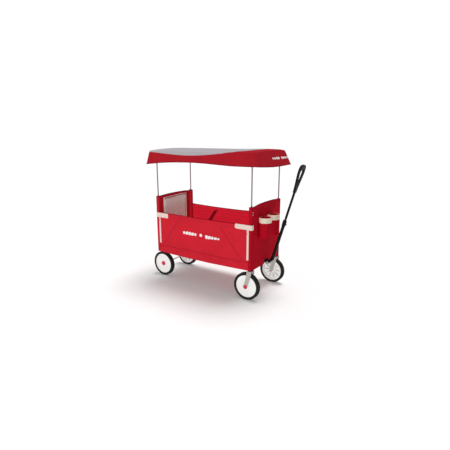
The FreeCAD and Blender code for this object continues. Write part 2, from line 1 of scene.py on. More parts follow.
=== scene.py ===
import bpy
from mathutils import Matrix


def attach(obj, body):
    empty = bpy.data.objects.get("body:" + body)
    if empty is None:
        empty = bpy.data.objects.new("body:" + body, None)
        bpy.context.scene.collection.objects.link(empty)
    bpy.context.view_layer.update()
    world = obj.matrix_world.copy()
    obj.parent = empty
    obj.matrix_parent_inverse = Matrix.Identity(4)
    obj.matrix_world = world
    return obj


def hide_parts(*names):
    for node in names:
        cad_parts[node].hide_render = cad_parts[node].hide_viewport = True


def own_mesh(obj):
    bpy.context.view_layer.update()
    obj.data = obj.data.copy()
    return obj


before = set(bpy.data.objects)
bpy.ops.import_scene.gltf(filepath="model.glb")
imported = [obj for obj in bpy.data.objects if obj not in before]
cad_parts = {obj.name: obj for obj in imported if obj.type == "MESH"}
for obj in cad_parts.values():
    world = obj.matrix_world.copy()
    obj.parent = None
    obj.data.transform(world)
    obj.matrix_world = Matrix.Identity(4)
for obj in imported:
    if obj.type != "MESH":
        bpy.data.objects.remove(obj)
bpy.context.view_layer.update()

import math

import bpy
from mathutils import Vector, noise

# Looks of a folding fabric wagon with a canopy. Metres, +X to the front, +Z up, floor at z = 0.
# Stations along x are counted from the middle of the body, which stands SHIFT behind the row's origin.

SHIFT = 0.080912
HALF_LENGTH = 0.418
HALF_WIDTH = 0.209
BOTTOM = 0.215
WALL_TOP = 0.528
RETURN = 0.0245
HINGE_Z = 0.270
FLAP_HALF = 0.393
HUB_Z = 0.097
REAR_AXLE, FRONT_AXLE = -0.417, 0.377
REAR_HALF_TRACK, FRONT_HALF_TRACK = 0.148, 0.192
CLOTH_HALF = 0.3935
SEAM_HALF = 0.385
BINDING = 0.0030
SEAM_RADIUS = 0.0422
MAT_HALF = 0.1835


def at(x, y, z):
    """A point at a station along the wagon, in the row frame."""
    return (x - SHIFT, y, z)


def mix(a, b, t):
    return a + (b - a) * t


def ease(t):
    t = min(max(t, 0.0), 1.0)
    return t * t * (3 - 2 * t)


def wave(x, y, z, scale, seed=0.0):
    """Smooth repeatable noise from -1 to 1."""
    return noise.noise(Vector((x * scale + seed, y * scale - seed, z * scale + 2 * seed)))


def curve(points, x):
    """A soft curve through (position, value) points."""
    if x <= points[0][0]:
        return points[0][1]
    if x >= points[-1][0]:
        return points[-1][1]
    k = max(i for i in range(len(points) - 1) if points[i][0] <= x)

    def slope(i):
        a, b = points[max(i - 1, 0)], points[min(i + 1, len(points) - 1)]
        return (b[1] - a[1]) / (b[0] - a[0])

    (x0, v0), (x1, v1) = points[k], points[k + 1]
    run = x1 - x0
    t = (x - x0) / run
    bend = (2 * t ** 3 - 3 * t ** 2 + 1) * v0 + (3 * t ** 2 - 2 * t ** 3) * v1
    return bend + run * ((t ** 3 - 2 * t ** 2 + t) * slope(k) + (t ** 3 - t ** 2) * slope(k + 1))


def line_distance(x, z, start, end):
    """Distance from a point to a line segment in the xz plane."""
    ax, az = start
    bx, bz = end
    t = ((x - ax) * (bx - ax) + (z - az) * (bz - az)) / ((bx - ax) ** 2 + (bz - az) ** 2)
    t = min(max(t, 0.0), 1.0)
    return math.hypot(x - mix(ax, bx, t), z - mix(az, bz, t))


def groove(distance, width, depth):
    """A rounded groove with slightly raised lips."""
    g = math.exp(-((distance / width) ** 2))
    lip = math.exp(-(((distance - 2.2 * width) / (1.3 * width)) ** 2))
    return depth * (g - 0.35 * lip)


# ---------------------------------------------------------------- materials


class Graph:
    """Short names for building a material's nodes."""

    def __init__(self, name):
        self.material = bpy.data.materials.new(name)
        self.material.use_nodes = True
        self.tree = self.material.node_tree
        self.shader = self.tree.nodes["Principled BSDF"]
        self.place = self.tree.nodes.new("ShaderNodeTexCoord").outputs["Object"]

    def node(self, kind, **values):
        made = self.tree.nodes.new(kind)
        for key, value in values.items():
            setattr(made, key, value)
        return made

    def link(self, source, target):
        self.tree.links.new(source, target)

    def noise(self, scale, detail=3.0):
        made = self.node("ShaderNodeTexNoise")
        made.inputs["Scale"].default_value = scale
        made.inputs["Detail"].default_value = detail
        self.link(self.place, made.inputs["Vector"])
        return made.outputs["Fac"]

    def ramp(self, source, low, high):
        made = self.node("ShaderNodeMapRange")
        made.inputs["To Min"].default_value = low
        made.inputs["To Max"].default_value = high
        made.inputs["From Min"].default_value = 0.3
        made.inputs["From Max"].default_value = 0.7
        self.link(source, made.inputs["Value"])
        return made.outputs["Result"]

    def bands(self, direction, scale):
        made = self.node("ShaderNodeTexWave", bands_direction=direction)
        made.inputs["Scale"].default_value = scale
        self.link(self.place, made.inputs["Vector"])
        return made.outputs["Fac"]

    def blend(self, factor, first, second):
        made = self.node("ShaderNodeMix", data_type="RGBA")
        self.link(factor, made.inputs["Factor"])
        made.inputs[6].default_value = (*first, 1)
        made.inputs[7].default_value = (*second, 1)
        return made.outputs[2]

    def join(self, factor, first, second):
        made = self.node("ShaderNodeMix", data_type="RGBA")
        self.link(factor, made.inputs["Factor"])
        self.link(first, made.inputs[6])
        self.link(second, made.inputs[7])
        return made.outputs[2]

    def math(self, operation, first, second):
        made = self.node("ShaderNodeMath", operation=operation)
        self.link(first, made.inputs[0])
        self.link(second, made.inputs[1])
        return made.outputs[0]

    def bump(self, height, strength, distance):
        made = self.node("ShaderNodeBump")
        made.inputs["Strength"].default_value = strength
        made.inputs["Distance"].default_value = distance
        self.link(height, made.inputs["Height"])
        self.link(made.outputs["Normal"], self.shader.inputs["Normal"])


def shade(color, factor):
    return tuple(min(c * factor, 1.0) for c in color)


def cloth(name, color, rough=0.78, variation=0.12, weave=620.0, second=None):
    """Woven polyester with soft patches of tone, a fine weave and small creases.

    second is the tone of another panel, used where the mesh's panel_edge is positive.
    """
    g = Graph(name)
    patches = g.noise(9.0, 4.0)
    tone = g.blend(patches, shade(color, 1 - variation), shade(color, 1 + variation))
    if second:
        side = g.node("ShaderNodeAttribute", attribute_name="panel_edge")
        step = g.node("ShaderNodeMapRange")
        step.inputs["From Min"].default_value = -0.0008
        step.inputs["From Max"].default_value = 0.0008
        g.link(side.outputs["Fac"], step.inputs["Value"])
        panel = g.blend(patches, shade(second, 0.95), shade(second, 1.05))
        tone = g.join(step.outputs["Result"], tone, panel)
    g.link(tone, g.shader.inputs["Base Color"])
    g.link(g.ramp(g.noise(40.0), rough - 0.07, rough + 0.07), g.shader.inputs["Roughness"])
    g.shader.inputs["Specular IOR Level"].default_value = 0.03
    threads = g.math("ADD", g.math("ADD", g.bands("X", weave), g.bands("Z", weave)), g.noise(60.0, 5.0))
    g.bump(threads, 0.35, 0.0006)
    return g.material


def plastic(name, color, rough=0.4, variation=0.05, grain=260.0, metallic=0.0, strength=0.15, shine=0.5):
    """Moulded plastic, rubber or paint with a fine grain and uneven sheen."""
    g = Graph(name)
    g.link(g.blend(g.noise(14.0), shade(color, 1 - variation), shade(color, 1 + variation)),
           g.shader.inputs["Base Color"])
    g.link(g.ramp(g.noise(30.0), rough - 0.06, rough + 0.08), g.shader.inputs["Roughness"])
    g.shader.inputs["Metallic"].default_value = metallic
    g.shader.inputs["Specular IOR Level"].default_value = shine
    g.bump(g.noise(grain), strength, 0.0004)
    return g.material


def tyre_rubber(name):
    """Black rubber with soft random patches of slightly lighter tone."""
    g = Graph(name)
    tone = g.blend(g.noise(35.0), (0.005, 0.005, 0.005), (0.014, 0.013, 0.013))
    g.link(tone, g.shader.inputs["Base Color"])
    g.link(g.ramp(g.noise(20.0), 0.55, 0.8), g.shader.inputs["Roughness"])
    g.shader.inputs["Specular IOR Level"].default_value = 0.2
    g.bump(g.noise(420.0), 0.3, 0.0005)
    return g.material


RED = cloth("side_red", (0.560, 0.016, 0.030))
# A brighter copy of the side cloth: painted light that lifts the far wall's shaded inside.
RED_PAINTED_LIGHT = cloth("far_red_painted_light", (0.830, 0.018, 0.043))
# A darker copy of the side cloth: painted shade for the front end, which faces away from the key light.
RED_PAINTED_SHADE = cloth("front_red_painted_shade", (0.400, 0.003, 0.014))
RED_TOP = cloth("canopy_red", (0.375, 0.010, 0.019), second=(0.405, 0.375, 0.405))
RED_DARK = cloth("seam_red", (0.270, 0.004, 0.014))
MAT_RED = cloth("mat_red", (0.380, 0.008, 0.020))
TAUPE = cloth("pad_taupe", (0.890, 0.800, 0.740), variation=0.06)
TAB = cloth("tab_beige", (0.760, 0.600, 0.540), variation=0.05)
BEIGE = cloth("trim_beige", (0.740, 0.650, 0.520), variation=0.05)
PIPING = cloth("piping_white", (0.800, 0.720, 0.690), variation=0.04)
WEBBING = cloth("webbing_red", (0.210, 0.004, 0.012), weave=380.0)
THREAD = plastic("thread", (0.330, 0.008, 0.016), rough=0.6)
ZIP = plastic("zip_white", (0.800, 0.600, 0.560), rough=0.5, shine=0.2)
WHITE = plastic("wheel_white", (0.880, 0.880, 0.860), rough=0.38)
# A grey copy of the white wheel plastic: painted shade for the wheels' inner faces.
WHEEL_SHADE_GREY = plastic("wheel_rib", (0.560, 0.550, 0.540), rough=0.5)
CAP_RED = plastic("cap_red", (0.560, 0.018, 0.040), rough=0.3)
SOCKET = plastic("socket_red", (0.330, 0.004, 0.016), rough=0.5)
FORK = plastic("fork_grey", (0.430, 0.405, 0.370), rough=0.45, shine=0.3)
BLACK = plastic("black_plastic", (0.006, 0.005, 0.005), rough=0.5, shine=0.12)
PAINT = plastic("black_paint", (0.004, 0.003, 0.003), rough=0.42, grain=700.0, shine=0.12)
FRAME = plastic("frame_paint", (0.016, 0.016, 0.017), rough=0.4, grain=700.0)
POLE = plastic("pole_grey", (0.280, 0.190, 0.210), rough=0.4, grain=700.0)
STEEL = plastic("axle_steel", (0.560, 0.560, 0.560), rough=0.28, grain=900.0, metallic=1.0)
TYRE = tyre_rubber("tyre_black")
MARK = plastic("mark_white", (0.820, 0.790, 0.780), rough=0.6)
SNAP = plastic("snap_metal", (0.800, 0.420, 0.440), rough=0.4, metallic=0.2)


# ---------------------------------------------------------------- mesh helpers


def piece(name, verts, faces, material, body, smooth=True):
    """A mesh object that rides on a CAD body."""
    mesh = bpy.data.meshes.new(name)
    mesh.from_pydata([tuple(v) for v in verts], [], faces)
    mesh.materials.append(material)
    if smooth:
        mesh.shade_smooth()
    mesh.update()
    made = bpy.data.objects.new(name, mesh)
    bpy.context.scene.collection.objects.link(made)
    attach(made, body)
    return made


def bake(item):
    """Replaces a piece's mesh by what its modifiers make of it."""
    bpy.context.view_layer.update()
    made = bpy.data.meshes.new_from_object(item.evaluated_get(bpy.context.evaluated_depsgraph_get()))
    item.modifiers.clear()
    item.data = made
    return item


def thicken(item, amount, offset=0.0):
    """Gives a sheet its thickness."""
    shell = item.modifiers.new("shell", "SOLIDIFY")
    shell.thickness = amount
    shell.offset = offset
    return bake(item)


def soften(item, width, segments=2, angle=30.0):
    """Rounds the edges of a CAD solid in the picture."""
    edge = item.modifiers.new("edge", "BEVEL")
    edge.width = width
    edge.segments = segments
    edge.limit_method = "ANGLE"
    edge.angle_limit = math.radians(angle)
    edge.harden_normals = False


def grid(name, nu, nv, surface, material, body, closed=False, keep=None):
    """A sheet made from surface(u, v), u and v from 0 to 1; closed joins the last column to the first."""
    columns = nu if closed else nu + 1
    verts = [surface(i / nu, j / nv) for j in range(nv + 1) for i in range(columns)]
    faces = []
    for j in range(nv):
        for i in range(nu):
            k = (i + 1) % columns
            face = (j * columns + i, j * columns + k, (j + 1) * columns + k, (j + 1) * columns + i)
            if keep is None or keep(*(sum(verts[n][c] for n in face) / 4 for c in range(3))):
                faces.append(face)
    return piece(name, verts, faces, material, body)


def tube(name, path, radius, material, body, sides=8, closed=False, flat=1.0):
    """A round cord or pipe along a path; flat squeezes it into a band."""
    points = [Vector(p) for p in path]
    count = len(points)
    verts, faces = [], []
    side = None
    for i, p in enumerate(points):
        after = points[(i + 1) % count] if closed or i < count - 1 else p
        before = points[i - 1] if closed or i > 0 else p
        along = (after - before).normalized()
        if side is None:
            side = along.cross(Vector((0, 0, 1)) if abs(along.z) < 0.9 else Vector((0, 1, 0))).normalized()
        side = (side - along * side.dot(along)).normalized()
        other = along.cross(side)
        for k in range(sides):
            a = 2 * math.pi * k / sides
            verts.append(p + side * (math.cos(a) * radius) + other * (math.sin(a) * radius * flat))
    rings = count if closed else count - 1
    for i in range(rings):
        for k in range(sides):
            a, b = i * sides + k, i * sides + (k + 1) % sides
            c, d = ((i + 1) % count) * sides + (k + 1) % sides, ((i + 1) % count) * sides + k
            faces.append((a, b, c, d))
    if not closed:
        faces.append(tuple(range(sides))[::-1])
        faces.append(tuple((count - 1) * sides + k for k in range(sides)))
    return piece(name, verts, faces, material, body)


def turned(name, profile, centre, axis, material, body, steps=48, ring=False):
    """A lathe piece from (radius, height) points, its height along +y or -y; a ring has an open middle."""
    cx, cy, cz = centre
    verts, faces = [], []
    for r, h in profile:
        for k in range(steps):
            a = 2 * math.pi * k / steps
            verts.append((cx + r * math.cos(a), cy + axis * h, cz + r * math.sin(a)))
    rows = len(profile)
    for j in range(rows if ring else rows - 1):
        low, high = j * steps, (j + 1) % rows * steps
        for k in range(steps):
            n = (k + 1) % steps
            faces.append((low + k, low + n, high + n, high + k))
    if not ring:
        faces.append(tuple(range(steps)))
        faces.append(tuple((rows - 1) * steps + k for k in range(steps))[::-1])
    made = piece(name, verts, faces, material, body)
    made.data.set_sharp_from_angle(angle=math.radians(35))
    return made


def boxes(name, blocks, material, body):
    """Small oriented blocks: (centre, half sizes, along, outward) each."""
    verts, faces = [], []
    for centre, (a, b, c), along, outward in blocks:
        centre, along, outward = Vector(centre), Vector(along).normalized(), Vector(outward).normalized()
        outward = (outward - along * outward.dot(along)).normalized()
        across = along.cross(outward)
        base = len(verts)
        for i in (-1, 1):
            for j in (-1, 1):
                for k in (-1, 1):
                    inset = 0.7 if k > 0 else 1.0
                    corner = centre + along * (i * a * inset) + across * (j * b * inset)
                    verts.append(corner + outward * (k * c))
        for f in ((0, 1, 3, 2), (4, 6, 7, 5), (0, 4, 5, 1), (2, 3, 7, 6), (0, 2, 6, 4), (1, 5, 7, 3)):
            faces.append(tuple(base + n for n in f))
    return piece(name, verts, faces, material, body, smooth=False)


def stitches(name, paths, body, material=THREAD, pitch=0.006, length=0.0038, outward=(0, -1, 0)):
    """Rows of evenly spaced sewing stitches along paths of points."""
    blocks = []
    for path in paths:
        due = pitch / 2
        for start, end in zip(path, path[1:]):
            start, end = Vector(start), Vector(end)
            run = (end - start).length
            while due < run:
                centre = start.lerp(end, due / run)
                blocks.append((centre, (length / 2, 0.0005, 0.0005), end - start, outward))
                due += pitch
            due -= run
    return boxes(name, blocks, material, body)


def swell(item, voxel, cap, inside=None):
    """Stuffs a closed form with cloth simulation: it is remeshed, blown up a little, and capped."""
    net = item.modifiers.new("net", "REMESH")
    net.mode = "VOXEL"
    net.voxel_size = voxel
    bake(item)
    rest = [v.co.copy() for v in item.data.vertices]
    skin = item.modifiers.new("skin", "CLOTH")
    skin.settings.use_pressure = True
    skin.settings.uniform_pressure_force = 4.0
    skin.settings.effector_weights.gravity = 0.0
    skin.settings.quality = 5
    skin.point_cache.frame_start = 1
    skin.point_cache.frame_end = 20
    for step in range(1, 21):
        bpy.context.scene.frame_set(step)
    bake(item)
    bpy.context.scene.frame_set(1)
    for v, start in zip(item.data.vertices, rest):
        move = v.co - start
        if move.length > cap:
            v.co = start + move.normalized() * cap
        if inside:
            v.co = inside(v.co)
    smooth = item.modifiers.new("smooth", "SUBSURF")
    smooth.levels = 1
    smooth.render_levels = 1
    bake(item)
    item.data.shade_smooth()
    return item


def block(name, outline, x0, x1, material, body):
    """A closed slab between two x stations from an outline of (y, z) points."""
    count = len(outline)
    verts = [at(x0, y, z) for y, z in outline] + [at(x1, y, z) for y, z in outline]
    faces = [tuple(range(count)), tuple(range(2 * count - 1, count - 1, -1))]
    faces += [(i, count + i, count + (i + 1) % count, (i + 1) % count) for i in range(count)]
    return piece(name, verts, faces, material, body)


def folds(item):
    """Gives the piece its own copy of its mesh."""
    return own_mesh(item)


# ---------------------------------------------------------------- side cloth

CREASES = (((-0.179, 0.508), (-0.358, 0.276)), ((0.175, 0.489), (0.350, 0.279)))


def flap_depth(x, z):
    """How far the flap's outer face stands proud of its flat plane."""
    fade = max(0.0, 1 - (x / FLAP_HALF) ** 4) * max(0.0, 1 - ((z - 0.4) / 0.131) ** 4)
    d = 0.0035 * fade + 0.0030 * fade * wave(x, 0, z, 7.0, 3.1)
    d += 0.0012 * fade * wave(x, 0, z * 0.6, 21.0, 7.7)
    for start, end in CREASES:
        d -= groove(line_distance(x, z, start, end), 0.0035, 0.0032)
        d += 0.0035 * math.exp(-((line_distance(x, z, start, end) - 0.020) / 0.014) ** 2) * fade
    if z > 0.503:
        d += 0.0014
    d -= groove(abs(z - 0.503), 0.0015, 0.0012) + groove(abs(z - 0.281), 0.0018, 0.0015)
    for corner in (-SEAM_HALF, SEAM_HALF):
        pull = math.hypot(x - corner, z - 0.497)
        d += 0.0016 * math.exp(-pull / 0.06) * math.sin(pull * 210 + math.atan2(z - 0.497, x - corner) * 5)
    return d


def flap_top(x):
    return WALL_TOP - 0.004 + 0.006 * (x / FLAP_HALF) ** 2 + 0.0012 * wave(x, 0, 0, 9.0)


def flap_point(u, v):
    x = mix(-FLAP_HALF, FLAP_HALF, u)
    z = mix(HINGE_Z + 0.001, flap_top(x), v)
    return at(x, -HALF_WIDTH + 0.0012 - flap_depth(x, z), z)


flap = grid("flap_cloth", 240, 90, flap_point, RED, "flap")
thicken(flap, 0.0022)
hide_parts("near_flap")

flap_hem = tube("flap_top_binding",
                [at(x, -HALF_WIDTH + 0.0012 - flap_depth(x, flap_top(x)), flap_top(x))
                 for x in [mix(-FLAP_HALF, FLAP_HALF, i / 120) for i in range(121)]],
                0.0028, RED_DARK, "flap")
flap_bead = tube("flap_hinge_bead", [at(-FLAP_HALF, -0.20725, HINGE_Z), at(FLAP_HALF, -0.20725, HINGE_Z)],
                 0.0017, RED_DARK, "flap", sides=10)


def on_flap(x, z, out=0.0014):
    return at(x, -HALF_WIDTH + 0.0001 - flap_depth(x, z) - out, z)


def run_on_flap(start, end, count=40, out=0.0003):
    steps = [i / count for i in range(count + 1)]
    return [on_flap(mix(start[0], end[0], t), mix(start[1], end[1], t), out) for t in steps]


seams = []
for low, high in CREASES:
    for shift in (-0.006, 0.006):
        seams.append(run_on_flap((low[0] + shift, low[1]), (high[0] + shift, high[1])))
for level in (0.5055, 0.2835):
    seams.append(run_on_flap((-0.383, level), (0.383, level), 90))
flap_seams = stitches("flap_stitching", seams, "flap")

MARK_SLANT = (1, 0, 0.25)
blocks = []
for i, length in enumerate((0.020, 0.026, 0.022, 0.026, 0.018)):
    size = (length / 2, 0.0115 - 0.0008 * abs(i - 2), 0.0009)
    blocks.append((on_flap(-0.150 + i * 0.026, 0.402, 0.0008), size, MARK_SLANT, (0, -1, 0)))
for i, length in enumerate((0.022, 0.026, 0.020, 0.024, 0.016)):
    size = (length / 2, 0.0125 - 0.0014 * i, 0.0009)
    blocks.append((on_flap(0.054 + i * 0.025, 0.399, 0.0008), size, MARK_SLANT, (0, -1, 0)))
side_mark = boxes("flap_mark", blocks, MARK, "flap")
mark_dot = turned("flap_mark_dot", [(0.012, 0), (0.0115, 0.0012), (0.006, 0.0016)],
                  on_flap(0.004, 0.404, 0.0004), -1, MARK, "flap", 32)


def strip_path(x, z0, z1, out):
    return [on_flap(x, mix(z0, z1, i / 30), out) for i in range(31)]


zips = []
for end, x in (("rear", -0.388), ("front", 0.3885)):
    tape_path = strip_path(x, 0.288, 0.500, 0.0012)
    tape = tube("zip_tape_" + end, tape_path, 0.0078, ZIP, "flap", sides=14, flat=0.18)
    teeth = []
    for i in range(59):
        middle = on_flap(x + (0.0011 if i % 2 else -0.0011), 0.290 + i * 0.0035, 0.0026)
        teeth.append((middle, (0.0011, 0.0017, 0.0009), (0, 0, 1), (0, -1, 0)))
    zips += [tape, boxes("zip_teeth_" + end, teeth, PIPING, "flap")]
    pull_path = [on_flap(x, 0.487, 0.0048), on_flap(x, 0.477, 0.0062), on_flap(x, 0.462, 0.0058)]
    pull = tube("zip_pull_" + end, pull_path, 0.0026, SNAP, "flap", sides=10, flat=0.5)
    zips.append(pull)
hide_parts("flap_zippers")


def tab(name, path, low, high, round_ends):
    """A sewn strap with a rounded free end along a path of (x, y) points."""
    run = [0.0]
    for p, q in zip(path, path[1:]):
        run.append(run[-1] + math.dist(p, q))
    total = run[-1]

    def point(u, v):
        s = u * total
        i = max(k for k in range(len(path) - 1) if run[k] <= s + 1e-9)
        t = (s - run[i]) / (run[i + 1] - run[i])
        x, y = mix(path[i][0], path[i + 1][0], t), mix(path[i][1], path[i + 1][1], t)
        middle, half = (low + high) / 2, (high - low) / 2
        squeeze = 1.0
        if s < 0.018 and round_ends:
            squeeze = 0.55 + 0.45 * math.sqrt(max(0.0, 1 - (1 - s / 0.018) ** 2))
        z = middle + (2 * v - 1) * half * squeeze + 0.0008 * wave(x, y, 0, 30.0)
        swell_out = 0.0010 * (1 - (2 * v - 1) ** 6)
        return at(x, y - swell_out * (1 if y < -0.2085 else 0), z)

    made = grid(name, 90, 14, point, TAB, "flap")
    return thicken(made, 0.0022)


def rounded_corner(x, y, radius, direction):
    """Plan points round a corner of the body."""
    return [
        (x + direction * radius * math.sin(a), y - radius * math.cos(a))
        for a in [math.pi / 2 * i / 6 for i in range(7)]
    ]


front_path = [(0.290, -0.2122), (0.400, -0.2128)]
front_path += rounded_corner(0.4145, -0.2065, 0.0062, 1) + [(0.4207, -0.192)]
rear_path = [(-0.302, -0.2122), (-0.400, -0.2128)]
rear_path += rounded_corner(-0.4145, -0.2065, 0.0062, -1) + [(-0.4207, -0.200)]
front_tab = tab("flap_tab_front", front_path, 0.497, 0.531, True)
rear_tab = tab("flap_tab_rear", rear_path, 0.4895, 0.5255, False)
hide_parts("flap_tabs")
tab_seams = stitches("tab_stitching", [
    [at(start, -0.2152, level), at(end, -0.2158, level)]
    for start, end, levels in ((0.300, 0.410, (0.5005, 0.5275)), (-0.308, -0.410, (0.4930, 0.5220)))
    for level in levels
], "flap", PIPING)


def skirt_face(x, z):
    """The skirt's y: its top is tucked in behind the flap's hinge seam, and its foot hangs free."""
    loose = min(max((0.262 - z) / 0.030, 0.0), 1.0)
    tuck = max(0.0, 0.0062 - 0.176 * (HINGE_Z - z))
    ripple = loose * (0.0015 + 0.0012 * wave(x, 0, z, 9.0, 5.5))
    return -HALF_WIDTH + 0.0012 - ripple + tuck + groove(abs(z - 0.242), 0.0016, 0.0012)


def skirt_point(u, v):
    x = mix(-CLOTH_HALF, CLOTH_HALF, u)
    low = BOTTOM - 0.0065 * math.sin(math.pi * min(max((x + 0.375) / 0.715, 0.0), 1.0)) ** 0.8
    z = mix(low, 0.2675, v)
    return at(x, skirt_face(x, z), z + 0.001 * wave(x, 0, 0, 8.0, 2.0) * (1 - v))


skirt = grid("skirt_cloth", 200, 22, skirt_point, RED, "rear_end")
thicken(skirt, 0.0022)
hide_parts("near_skirt")
skirt_seams = stitches("skirt_stitching", [
    [at(x, skirt_face(x, level) - 0.0012, level) for x in [mix(-0.39, 0.39, i / 90) for i in range(91)]]
    for level in (0.2455, 0.2195)], "rear_end")


def far_top(x):
    return 0.5235 + 0.0065 * ((x + 0.06) / 0.33) ** 2


def far_depth(x, z):
    """How far the far wall's cloth stands inward of its flat plane."""
    fade = max(0.0, 1 - (x / 0.394) ** 4) * max(0.0, 1 - ((z - 0.37) / 0.16) ** 4)
    d = 0.003 * fade * (1 + wave(x, 0, z, 6.0, 9.3)) + 0.0014 * fade * wave(x, 0, z * 0.5, 19.0, 4.2)
    for level in (0.500, 0.474, 0.446, 0.281):
        d -= groove(abs(z - level), 0.0030, 0.0036)
    return d


def far_point(u, v):
    x = mix(-CLOTH_HALF, CLOTH_HALF, u)
    z = mix(BOTTOM, far_top(x), v)
    return at(x, HALF_WIDTH - 0.0012 - far_depth(x, z), z)


# The far wall's inside takes the brighter copy of the side cloth, painted light.
far = grid("far_cloth", 200, 110, far_point, RED_PAINTED_LIGHT, "rear_end")
thicken(far, 0.0022)
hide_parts("far_wall")
far_edge = [mix(-CLOTH_HALF, CLOTH_HALF, i / 90) for i in range(91)]
far_hem = tube("far_top_binding", [at(x, HALF_WIDTH - 0.0018, far_top(x)) for x in far_edge],
               BINDING, RED_DARK, "rear_end")
far_seams = stitches("far_stitching", [
    [at(x, HALF_WIDTH - 0.0026 - far_depth(x, level), level)
     for x in [mix(-SEAM_HALF, SEAM_HALF, i / 60) for i in range(61)]]
    for level in (0.5035, 0.4775, 0.4495)], "rear_end", outward=(0, -1, 0))


def belt_point(u, v):
    x = mix(-0.150, -0.214, u) + (2 * v - 1) * 0.0165
    z = mix(0.500, 0.405, u) + (2 * v - 1) * 0.003
    sag = 0.003 * math.sin(math.pi * u)
    return at(x, 0.2015 - far_depth(x, z) * 0.4 - sag - 0.0004 * math.cos(v * math.pi * 10), z)


belt = grid("belt_webbing", 40, 30, belt_point, WEBBING, "rear_end")
thicken(belt, 0.0018)
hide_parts("seat_belt")
buckle_block = (at(-0.219, 0.1985, 0.399), (0.013, 0.020, 0.004), (-0.56, 0, -0.83), (0, -1, 0))
buckle = boxes("belt_buckle", [buckle_block], BLACK, "rear_end")
soften(buckle, 0.003)

for cloth_piece in (flap, flap_hem, flap_bead, flap_seams, side_mark, mark_dot, front_tab, rear_tab,
                    tab_seams, *zips, skirt, skirt_seams, far, far_hem, far_seams, belt, buckle):
    folds(bake(cloth_piece))


# ---------------------------------------------------------------- end walls


RIMS = {-1: (0.6505, 0.0100, 2.5, 0.0060, 0.6430, 0.0125), 1: (0.6590, 0.0130, 3.0, 0.0030, 0.6520, 0.0215)}


def rim(end, y):
    """Height of an end wall's arched rim, with a small ear round each pole."""
    crown, drop, power, ear, _, _ = RIMS[end]
    a = abs(y)
    return crown - drop * (a / 0.2) ** power + ear * ease((a - 0.182) / 0.010)


def wall_bulge(end, y, z):
    """How far an end wall's cloth stands out from its frame."""
    side = max(0.0, 1 - (y / 0.2) ** 4)
    up = max(0.0, 1 - ((z - 0.43) / 0.225) ** 4)
    ripple = 0.0035 * wave(end, y, z, 6.0, 1.7 * end)
    crease = 0.0014 * wave(0, y, z * 0.5, 22.0, 5.0)
    d = side * up * (0.0045 + ripple + crease)
    d -= groove(abs(z - 0.242), 0.0016, 0.0014) * side
    d -= groove(abs(z - (rim(end, y) - 0.024)), 0.0016, 0.0014) * side
    return d - groove(abs(abs(y) - 0.186), 0.0018, 0.0016)


def end_wall(end, body, name):
    corner = 0.006
    plan = [(HALF_LENGTH - RETURN, -HALF_WIDTH)]
    plan += [(HALF_LENGTH - corner + corner * math.sin(a), -HALF_WIDTH + corner - corner * math.cos(a))
             for a in [math.pi / 2 * i / 5 for i in range(6)]]
    across = 60
    flat_half = HALF_WIDTH - corner
    plan += [(HALF_LENGTH, mix(-flat_half, flat_half, i / across)) for i in range(1, across)]
    plan += [(x, -y) for x, y in reversed(plan[:7])]
    count = len(plan) - 1

    def point(u, v):
        i = min(int(round(u * count)), count)
        x, y = plan[i]
        z = mix(BOTTOM, rim(end, y), v)
        if abs(y) < HALF_WIDTH - corner:
            x += wall_bulge(end, y, z)
        x -= 0.0012 if abs(y) < HALF_WIDTH - corner else 0.0
        inset = 0.0012 if abs(y) >= HALF_WIDTH - corner else 0.0
        return at(end * x, y - math.copysign(inset, y), z)

    def keep(x, y, z):
        return abs(y) > 0.024 or z > 0.250

    # The front wall takes the darker copy of the side cloth, painted shade on the same red fabric; the rear
    # wall takes the side cloth.
    wall = grid(name + "_cloth", count, 120, point, RED_PAINTED_SHADE if end > 0 else RED, body, keep=keep)
    thicken(wall, 0.0022)
    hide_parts(name + "_panel")
    edge = [Vector(point(i / count, 1.0)) for i in range(count + 1)]
    binding = tube(name + "_rim_binding", edge, BINDING, RED_DARK, body)
    for side in (-1, 1):
        x, y = end * (HALF_LENGTH - 0.001), side * (HALF_WIDTH - 0.001)
        upright = [at(x, y, mix(BOTTOM, rim(end, 0.208), i / 40)) for i in range(41)]
        hand = "near" if side < 0 else "far"
        tube("%s_corner_piping_%s" % (name, hand), upright, 0.0019, RED_DARK, body)
    rows = []
    for level in (0.2455, 0.2195):
        for first, last in ((-0.18, -0.03), (0.03, 0.18)):
            rows.append([at(end * (HALF_LENGTH + wall_bulge(end, y, level)), y, level)
                         for y in [mix(first, last, i / 12) for i in range(13)]])
    rows.append([at(end * (HALF_LENGTH + wall_bulge(end, y, rim(end, y) - 0.02)), y, rim(end, y) - 0.021)
                 for y in [mix(-0.178, 0.178, i / 50) for i in range(51)]])
    stitches(name + "_wall_stitching", rows, body, outward=(end, 0, 0))
    roll_top, roll_drop = RIMS[end][4:]
    roll = [at(end * 0.4085, y, roll_top - roll_drop * (y / 0.1896) ** 2)
            for y in [mix(-0.1875, 0.1875, i / 48) for i in range(49)]]
    tube(name + "_rim_roll", roll, 0.0069, RED_PAINTED_SHADE if end > 0 else RED, body, sides=14)
    for side, hand in ((-1, "near"), (1, "far")):
        sleeve_path = [(0.3948, 0.2070), (0.3943, 0.1975), (0.3948, 0.1890),
                       (0.3962, 0.1878), (0.4060, 0.1874), (0.4155, 0.1878)]

        def sleeve_point(u, v):
            i = min(int(round(u * 5)), 5)
            x, y = sleeve_path[i]
            z = mix(0.2560, rim(end, 0.2) - 0.0015 if i < 3 else rim(end, 0.16) - 0.010, v)
            x -= 0.0008 * wave(side, end * 3, z, 11.0) * (1 if i < 3 else 0)
            return at(end * x, side * y, z)

        sleeve = grid("%s_%s_sleeve" % (name, hand), 5, 60, sleeve_point, RED_PAINTED_SHADE if end > 0 else RED, body)
        thicken(sleeve, 0.0016)
    return wall


